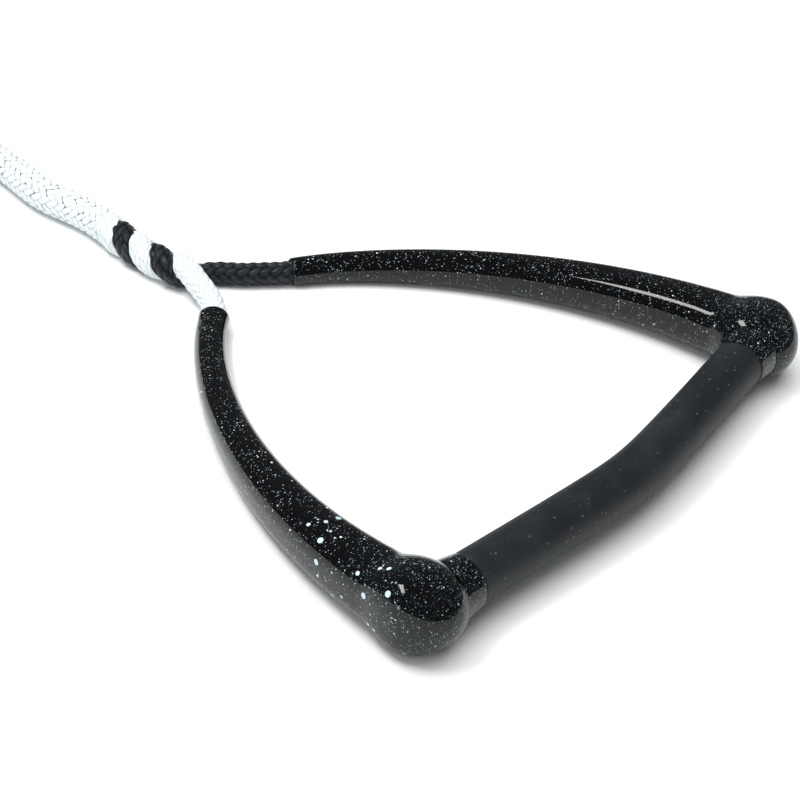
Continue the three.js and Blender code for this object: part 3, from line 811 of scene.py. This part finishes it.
def braided_rope(name, line, radii, given, around, strands, crossing_mm, relief_mm, material,
                 first_crossing=0.0, cored=None):
    """A braided rope along a line: a tube with its braid coordinates, then the relief."""
    rings = rope_rings(line, radii, given, around)
    points, faces = closed_skin(rings)
    rope = new_piece(name, points, faces)
    mesh = rope.data
    gaps = np.linalg.norm(np.diff(line, axis=0), axis=1)
    per_ring = first_crossing + np.concatenate([[0], np.cumsum(gaps / crossing_mm)])
    crossings = np.concatenate([np.repeat(per_ring, around), [per_ring[0], per_ring[-1]]])
    share = np.concatenate([np.tile(np.arange(around) / around, len(line)), [0, 0]])
    core = np.zeros(len(line)) if cored is None else cored
    covered = np.concatenate([np.repeat(core, around), [core[0], core[-1]]])
    for label, values in (("crossings", crossings), ("share_of_turn", share), ("core", covered)):
        attribute = mesh.attributes.new(label, "FLOAT", "POINT")
        attribute.data.foreach_set("value", values.astype(np.float32))
    uv = mesh.uv_layers.new(name="braid_uv")
    corner_points = np.zeros(len(mesh.loops), int)
    mesh.loops.foreach_get("vertex_index", corner_points)
    turn = share[corner_points].copy()
    for polygon in mesh.polygons:
        span = slice(polygon.loop_start, polygon.loop_start + polygon.loop_total)
        if turn[span].max() - turn[span].min() > 0.5:
            turn[span] = np.where(turn[span] < 0.5, turn[span] + 1, turn[span])
    uv.data.foreach_set("uv", np.stack([crossings[corner_points], turn], 1).ravel())
    run_tree(
        rope, braid_tree,
        **{"Strands each way": float(strands), "Relief": relief_mm * MM, "Finish": material},
    )
    return rope, per_ring[-1]


def rope_material(name, crown, gap_painted_shade, strands, rough, shine, streak, core_fleck=None):
    """Braided filament yarn: its own colour on the crowns, painted shade in the gaps between strands,
    and fine filaments along each strand.
    """
    material, tree, surface = start_material(name, Roughness=rough, Specular_IOR_Level=shine)
    uv = add_node(tree, "ShaderNodeUVMap", uv_map="braid_uv")
    braid = add_node(tree, "ShaderNodeSeparateXYZ", {0: uv.outputs[0]})
    height, across = braid_height(tree, braid.outputs[0], braid.outputs[1], float(strands))
    # Painted shade: where the braid's height falls into the gaps between strands, the colour goes to the
    # darker gap colour.
    shade = add_node(
        tree, "ShaderNodeMapRange", {"Value": height, "From Min": 0.08, "From Max": 0.62}
    )
    place = add_node(tree, "ShaderNodeTexCoord").outputs["Object"]
    blotch = add_node(tree, "ShaderNodeTexNoise", {"Vector": place, "Scale": 240.0, "Detail": 3.0})
    crown_tint = add_node(
        tree,
        "ShaderNodeMix",
        {0: blotch.outputs[0], 6: linear(crown), 7: linear(streak)},
        data_type="RGBA",
    )
    tint = add_node(
        tree,
        "ShaderNodeMix",
        {0: shade.outputs[0], 6: linear(gap_painted_shade), 7: crown_tint.outputs[2]},
        data_type="RGBA",
    ).outputs[2]
    if core_fleck:
        cored = add_node(tree, "ShaderNodeAttribute", attribute_name="core")
        gap = add_node(
            tree, "ShaderNodeMapRange", {"Value": height, "From Min": 0.36, "From Max": 0.16}
        )
        lucky = add_node(
            tree,
            "ShaderNodeMapRange",
            {"Value": blotch.outputs[0], "From Min": 0.5, "From Max": 0.56},
        )
        open_gap = add_node(
            tree, "ShaderNodeMath", {0: gap.outputs[0], 1: lucky.outputs[0]}, operation="MULTIPLY"
        )
        mask = add_node(
            tree,
            "ShaderNodeMath",
            {0: open_gap.outputs[0], 1: cored.outputs["Fac"]},
            operation="MULTIPLY",
        )
        tint = add_node(
            tree,
            "ShaderNodeMix",
            {0: mask.outputs[0], 6: tint, 7: linear(core_fleck)},
            data_type="RGBA",
        ).outputs[2]
    tree.links.new(tint, surface.inputs["Base Color"])
    filaments = add_node(
        tree, "ShaderNodeMath", {0: across, 1: 2 * math.pi * FILAMENTS}, operation="MULTIPLY"
    )
    ridges = add_node(tree, "ShaderNodeMath", {0: filaments.outputs[0]}, operation="SINE")
    fine = add_node(
        tree, "ShaderNodeMath", {0: ridges.outputs[0], 1: FILAMENT_SHARE}, operation="MULTIPLY"
    )
    relief = add_node(
        tree, "ShaderNodeMath", {0: height, 1: fine.outputs[0]}, operation="ADD"
    )
    bump = add_node(
        tree, "ShaderNodeBump", {"Height": relief.outputs[0], "Distance": 0.25 * MM, "Strength": 0.7}
    )
    tree.links.new(bump.outputs[0], surface.inputs["Normal"])
    return material


WHITE_STRANDS, BLACK_STRANDS = 12, 8
white_rope = rope_material(
    "white_braid", WHITE_CROWN, WHITE_GAP_PAINTED_SHADE, WHITE_STRANDS, 0.5, 0.4, "#D8E1E3", CORE_FLECK
)
black_rope = rope_material(
    "black_braid", BLACK_CROWN, BLACK_GAP_PAINTED_SHADE, BLACK_STRANDS, 0.3, 0.14, "#34393E"
)


def leg_in_arm(side):
    table = arm_table(side)
    run = np.linspace(ARM_LENGTH - LEG_IN_ARM, ARM_LENGTH + 2, 6)
    return [tip_down(arm_place(table, d)[0]) for d in run]


def width_at(y, stops):
    """Half widths of a rope at a place down the line, from stops of (y, first, second)."""
    y_stops, first, second = zip(*stops)
    return np.interp(y, y_stops, first), np.interp(y, y_stops, second)


WHITE_WIDTHS = (
    (150, 6.8, 6.8), (166, 5.9, 7.0), (176, 5.0, 7.25), (219, 5.0, 7.25), (227, 7.4, 8.8),
    (236, 9.6, 9.7), (246, 9.7, 9.7), (352, 9.7, 9.7), (372, 8.8, 8.8), (388, 7.1, 7.1),
    (402, 6.5, 6.5),
)
BLACK_WIDTHS = (
    (150, 6.6, 6.6), (163, 6.3, 6.9), (174, 5.0, 7.25), (224, 5.0, 7.25), (236, 4.4, 4.4),
)

LEAD_END = (-2.8, 410.0, 6.6)
white_route = [
    *leg_in_arm(-1), *WHITE_LEG,
    *twist_points(np.arange(171.5, 240, 3.0), 0, 221.0, 238.0), *SPLICE, *LEAD, LEAD_END,
]
white_line = smooth_line(white_route, 0.75)
white_given = {
    i: twist_direction(p[1], 0) for i, p in enumerate(white_line) if 171 < p[1] < 236
}
white_cored = np.array([smooth(p[1], 236, 246) * (1 - smooth(p[1], 350, 366)) for p in white_line])
white_rope_piece, white_end = braided_rope(
    "bridle_rope_white", white_line, [width_at(p[1], WHITE_WIDTHS) for p in white_line],
    white_given, 96, WHITE_STRANDS, 5.9, 0.6, white_rope, cored=white_cored,
)

black_route = [
    *leg_in_arm(1), *BLACK_LEG,
    *twist_points(np.arange(177.0, 248, 3.0), 180, 226.0, 240.0),
]
black_line = smooth_line(black_route, 0.75)
black_given = {
    i: twist_direction(p[1], 180) for i, p in enumerate(black_line) if 176 < p[1] < 240
}
black_rope_piece, _ = braided_rope(
    "bridle_rope_black", black_line, [width_at(p[1], BLACK_WIDTHS) for p in black_line],
    black_given, 96, BLACK_STRANDS, 6.4, 0.9, black_rope,
)


tips = {side: tip_down(arm_place(arm_table(side), ARM_LENGTH)[0]) * MM for side in (-1, 1)}
for rope, line, side, nodes, slot_name in (
    (white_rope_piece, white_line, -1,
     ("bridle_leg_white", "bridle_yoke", "line_splice", "line_lead"), "white_rope"),
    (black_rope_piece, black_line, 1, ("bridle_leg_black",), "black_rope"),
):
    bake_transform(rope)
    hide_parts(*nodes)

# The rest of the white line is wound for storage into a flat coil of two turns. It leaves the
# inner turn and ends in a spliced eye.
COIL = {"x": -81.9, "y": 424.0, "outer": 79.2, "inner": 66.0}
COIL_MIDDLE = (COIL["outer"] + COIL["inner"]) / 2
COIL_HEIGHT = 6.6
COIL_LEAVES = -42.0
TIE_ANGLE, TIE_WIDTH, TIE_THICK = 260.0, 20.0, 1.6
THROAT_BEND, THROAT_HEIGHT = 30.0, 8.6
LOOP_LENGTH, LOOP_WIDTH = 72.0, 36.0


def coil_point(degrees):
    """A point on the coil, and how far the strap squeezes it there."""
    over = max(0.0, degrees - (360 + COIL_LEAVES))
    radius = COIL["outer"] - (COIL["outer"] - COIL["inner"]) * smooth(over, 0, -COIL_LEAVES)
    off = abs((degrees - TIE_ANGLE + 180) % 360 - 180) * math.radians(1) * COIL_MIDDLE
    squeeze = 1 - smooth(off, TIE_WIDTH / 2, TIE_WIDTH / 2 + 9)
    radius += squeeze * 0.7 * (1 if radius < COIL_MIDDLE else -1)
    turn = math.radians(degrees)
    point = (COIL["x"] + radius * math.cos(turn), COIL["y"] + radius * math.sin(turn), COIL_HEIGHT)
    return point, squeeze


def leave_coil(points):
    """Points of the eye, drawn where a whole turn ends, moved to where the line leaves."""
    turn = math.radians(COIL_LEAVES)
    x, y, z = np.moveaxis(np.asarray(points, float), -1, 0)
    x, y = x - COIL["x"], y - COIL["y"]
    return np.stack(
        [
            COIL["x"] + x * math.cos(turn) - y * math.sin(turn),
            COIL["y"] + x * math.sin(turn) + y * math.cos(turn),
            z,
        ],
        -1,
    )


def throat_point(degrees):
    turn = math.radians(degrees)
    x = COIL["inner"] - THROAT_BEND + THROAT_BEND * math.cos(turn)
    rise = smooth(degrees, 0, 62) * (THROAT_HEIGHT - COIL_HEIGHT)
    return (COIL["x"] + x, COIL["y"] + THROAT_BEND * math.sin(turn), COIL_HEIGHT + rise)


coil_degrees = np.arange(0, 720 + COIL_LEAVES - 1, 6.0)
coil_route = [LEAD_END, *[coil_point(d)[0] for d in coil_degrees]]
coil_route += [tuple(p) for p in leave_coil([throat_point(d) for d in (0, 15, 30, 45, 60, 75, 90, 104)])]
coil_line = smooth_line(coil_route, 1.25)
coil_middle = np.array((COIL["x"], COIL["y"], COIL_HEIGHT))
coil_radii = []
for p in coil_line:
    degrees = math.degrees(math.atan2(p[1] - COIL["y"], p[0] - COIL["x"]))
    squeeze = coil_point(degrees)[1] if np.hypot(*(p - coil_middle)[:2]) > 60 else 0.0
    fat = smooth(p[2], 6.8, THROAT_HEIGHT) * 0.7
    coil_radii.append((6.5 - 0.75 * squeeze + fat, 6.5 - 1.65 * squeeze + fat))
coil_given = {0: np.array((1.0, 0, 0))}
coil_piece, _ = braided_rope(
    "tow_line_coil", coil_line, coil_radii, coil_given, 72, WHITE_STRANDS, 5.9, 0.6, white_rope,
    first_crossing=white_end,
)

# The eye: the line is turned back and spliced into itself.
start = np.array(throat_point(108.0))
ahead_way = math.radians(108.0 + 90.0)
eye_route = []
shape = [(-4, 0.10), (6, 0.34), (0.28 * LOOP_LENGTH, 0.72), (0.6 * LOOP_LENGTH, 1.0),
         (0.86 * LOOP_LENGTH, 0.8)]
half_loop = LOOP_WIDTH / 2
one_side = [(ahead, share * half_loop) for ahead, share in shape]
for ahead, out in one_side + [(LOOP_LENGTH, 0.0)] + [(a, -o) for a, o in one_side[::-1]]:
    sunk = (THROAT_HEIGHT - 6.9) * smooth(ahead, 0, LOOP_LENGTH / 2)
    eye_route.append((
        start[0] + ahead * math.cos(ahead_way) - out * math.sin(ahead_way),
        start[1] + ahead * math.sin(ahead_way) + out * math.cos(ahead_way),
        start[2] - sunk,
    ))
eye_line = smooth_line(leave_coil(eye_route), 1.0)
eye_piece, _ = braided_rope(
    "end_loop_rope", eye_line, [(6.4, 6.4)] * len(eye_line), {0: np.array((0.0, 0, 1.0))}, 72,
    WHITE_STRANDS, 5.9, 0.6, white_rope,
)

# Waxed twine wound round the throat locks the splice: rings 0.8 mm thick, side by side.
whip_tree = bpy.data.node_groups.new("twine_turns", "GeometryNodeTree")
for label, kind in (
    ("Geometry", "Geometry"),
    ("Turn radius", "Float"),
    ("Twine radius", "Float"),
    ("Turns", "Int"),
    ("Finish", "Material"),
):
    whip_tree.interface.new_socket(label, in_out="INPUT", socket_type=f"NodeSocket{kind}")
whip_tree.interface.new_socket("Geometry", in_out="OUTPUT", socket_type="NodeSocketGeometry")
given = add_node(whip_tree, "NodeGroupInput")
curve = add_node(whip_tree, "GeometryNodeMeshToCurve", {0: given.outputs["Geometry"]})
even = add_node(
    whip_tree,
    "GeometryNodeResampleCurve",
    {"Curve": curve.outputs[0], "Count": given.outputs["Turns"]},
)
stations = add_node(
    whip_tree, "GeometryNodeCurveToPoints", {"Curve": even.outputs[0]}, mode="EVALUATED"
)
ring = add_node(
    whip_tree,
    "GeometryNodeCurvePrimitiveCircle",
    {"Resolution": 48, "Radius": given.outputs["Turn radius"]},
)
twine = add_node(
    whip_tree,
    "GeometryNodeCurvePrimitiveCircle",
    {"Resolution": 8, "Radius": given.outputs["Twine radius"]},
)
hoop = add_node(
    whip_tree,
    "GeometryNodeCurveToMesh",
    {"Curve": ring.outputs[0], "Profile Curve": twine.outputs[0]},
)
placed = add_node(
    whip_tree,
    "GeometryNodeInstanceOnPoints",
    {
        "Points": stations.outputs["Points"],
        "Instance": hoop.outputs[0],
        "Rotation": stations.outputs["Rotation"],
    },
)
real = add_node(whip_tree, "GeometryNodeRealizeInstances", {0: placed.outputs[0]})
finished = add_node(
    whip_tree,
    "GeometryNodeSetMaterial",
    {"Geometry": real.outputs[0], "Material": given.outputs["Finish"]},
)
add_node(whip_tree, "NodeGroupOutput", {0: finished.outputs[0]})

waxed_twine = patterned_finish(
    "waxed_twine", "ShaderNodeTexNoise", {"Scale": 1500.0, "Detail": 2.0}, ("#141416", "#33343A"),
    0.1, Roughness=0.38,
)

whip_line = leave_coil([throat_point(d) for d in np.linspace(78, 94, 9)]) * MM
whip_mesh = bpy.data.meshes.new("loop_twine")
whip_mesh.from_pydata(whip_line.tolist(), [(i, i + 1) for i in range(len(whip_line) - 1)], [])
whipping = bpy.data.objects.new("loop_twine", whip_mesh)
bpy.context.scene.collection.objects.link(whipping)
run_tree(
    whipping, whip_tree,
    **{"Turn radius": 7.95 * MM, "Twine radius": 0.42 * MM, "Turns": 11, "Finish": waxed_twine},
)

# A hook-and-loop strap holds the coil: webbing 20 mm wide, 1.6 mm thick, ribbed across.
webbing = patterned_finish(
    "tie_webbing", "ShaderNodeTexWave", {"Scale": 260.0, "Distortion": 0.6}, ("#0C0C0E", "#26272B"),
    0.2, mark=1, Roughness=0.85,
)

tie_half = (13.2 + FIT / 2, 6.6)
corner = 5.6
outline = []
for cx, cz, from_angle in (
    (1, 1, 0), (-1, 1, 90), (-1, -1, 180), (1, -1, 270),
):
    for k in range(9):
        turn = math.radians(from_angle + 90 * k / 8)
        outline.append((
            cx * (tie_half[0] - corner), cz * (tie_half[1] - corner), math.cos(turn), math.sin(turn),
        ))
tie_rings = []
lip = 0.5
section = [
    (-TIE_WIDTH / 2, -lip), (-TIE_WIDTH / 2 + lip, 0), (TIE_WIDTH / 2 - lip, 0),
    (TIE_WIDTH / 2, -lip), (TIE_WIDTH / 2, -TIE_THICK), (-TIE_WIDTH / 2, -TIE_THICK),
]
tie_turn = math.radians(TIE_ANGLE)
radial = np.array((math.cos(tie_turn), math.sin(tie_turn), 0))
sideways = np.array((-math.sin(tie_turn), math.cos(tie_turn), 0))
tie_middle = np.array((COIL["x"], COIL["y"], COIL_HEIGHT)) + COIL_MIDDLE * radial
for x, z, dx, dz in outline:
    tie_rings.append([
        tie_middle + radial * (x + dx * (corner + deep)) + sideways * wide
        + np.array((0, 0, z + dz * (corner + deep)))
        for wide, deep in section
    ])
points, faces = closed_skin(tie_rings, ends="joined")
tie = new_piece("coil_strap", points, faces, webbing)
tie.data.set_sharp_from_angle(angle=math.radians(40))

for piece, nodes, slot_name in (
    (coil_piece, ("line_coil",), "white_rope"),
    (eye_piece, ("end_loop",), "white_rope"),
    (whipping, ("loop_whipping",), "whipping_twine"),
    (tie, ("coil_tie",), "tie_webbing"),
):
    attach(piece, "tow_line")
    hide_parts(*nodes)

# Inside each arm the leg's eye goes round the bush: the same rope, seen by nobody.
for node_name, crown, gap_painted_shade in (
    ("rope_eye_left", WHITE_CROWN, WHITE_GAP_PAINTED_SHADE), ("rope_eye_right", BLACK_CROWN, BLACK_GAP_PAINTED_SHADE),
):
    hidden_rope, tree, surface = start_material(f"{node_name}_braid", Roughness=0.55)
    place = add_node(tree, "ShaderNodeTexCoord").outputs["Object"]
    strands = add_node(
        tree, "ShaderNodeTexWave", {"Vector": place, "Scale": 110.0, "Distortion": 2.0},
        bands_direction="DIAGONAL",
    )
    # The darker wave bands are painted shade between the strands.
    tint = add_node(
        tree,
        "ShaderNodeMix",
        {0: strands.outputs[1], 6: linear(gap_painted_shade), 7: linear(crown)},
        data_type="RGBA",
    )
    tree.links.new(tint.outputs[2], surface.inputs["Base Color"])
    bump = add_node(tree, "ShaderNodeBump", {"Height": strands.outputs[1], "Distance": 0.4 * MM})
    tree.links.new(bump.outputs[0], surface.inputs["Normal"])
    finish_node(node_name, hidden_rope)


# ---------------------------------------------------------------- floor and light
# A plain pale floor, and soft studio lamps. The lamps that only brighten the floor are kept
# out of reflections, so that the gloss shows the floor, a dim room and one softbox.
floor_material = patterned_finish(
    "studio_floor", "ShaderNodeTexNoise", {"Scale": 60.0}, ("#F6F7F7", "#F8F9F9"), 0,
    Roughness=0.9, Specular_IOR_Level=0.1,
)
floor_corners = [(-6000, -6000, -0.1), (6000, -6000, -0.1), (6000, 6000, -0.1), (-6000, 6000, -0.1)]
floor_mesh = bpy.data.meshes.new("studio_floor")
floor_mesh.from_pydata([tuple(c * MM for c in corner) for corner in floor_corners], [], [(0, 1, 2, 3)])
floor_mesh.materials.append(floor_material)
floor = bpy.data.objects.new("studio_floor", floor_mesh)
bpy.context.scene.collection.objects.link(floor)

LAMPS = (
    # name, place, width and height, watts, shown in reflections
    ("overhead_wash", (0.1, 0.1, 2.2), (2.4, 2.4), 56.0, False),
    ("side_fill", (-1.6, -0.3, 1.2), (1.2, 1.2), 10.0, False),
    ("softbox", (-0.35, 0.45, 1.1), (0.7, 0.22), 8.0, True),
)
aim = Vector((-0.02, 0.05, 0.0))
for name, spot, (width, height), watts, reflected in LAMPS:
    lamp_data = bpy.data.lights.new(name, "AREA")
    lamp_data.shape, lamp_data.energy = "RECTANGLE", watts
    lamp_data.size, lamp_data.size_y = width, height
    lamp = bpy.data.objects.new(name, lamp_data)
    turn = (Vector(spot) - aim).to_track_quat("Z", "Y")
    lamp.matrix_world = Matrix.LocRotScale(Vector(spot), turn, None)
    lamp.visible_glossy = reflected
    bpy.context.scene.collection.objects.link(lamp)

world = bpy.data.worlds.new("studio")
world.use_nodes = True
world.node_tree.nodes.clear()
sky = add_node(world.node_tree, "ShaderNodeBackground", {0: linear("#C9CED3"), 1: 0.25})
add_node(world.node_tree, "ShaderNodeOutputWorld", {0: sky.outputs[0]})
bpy.context.scene.world = world
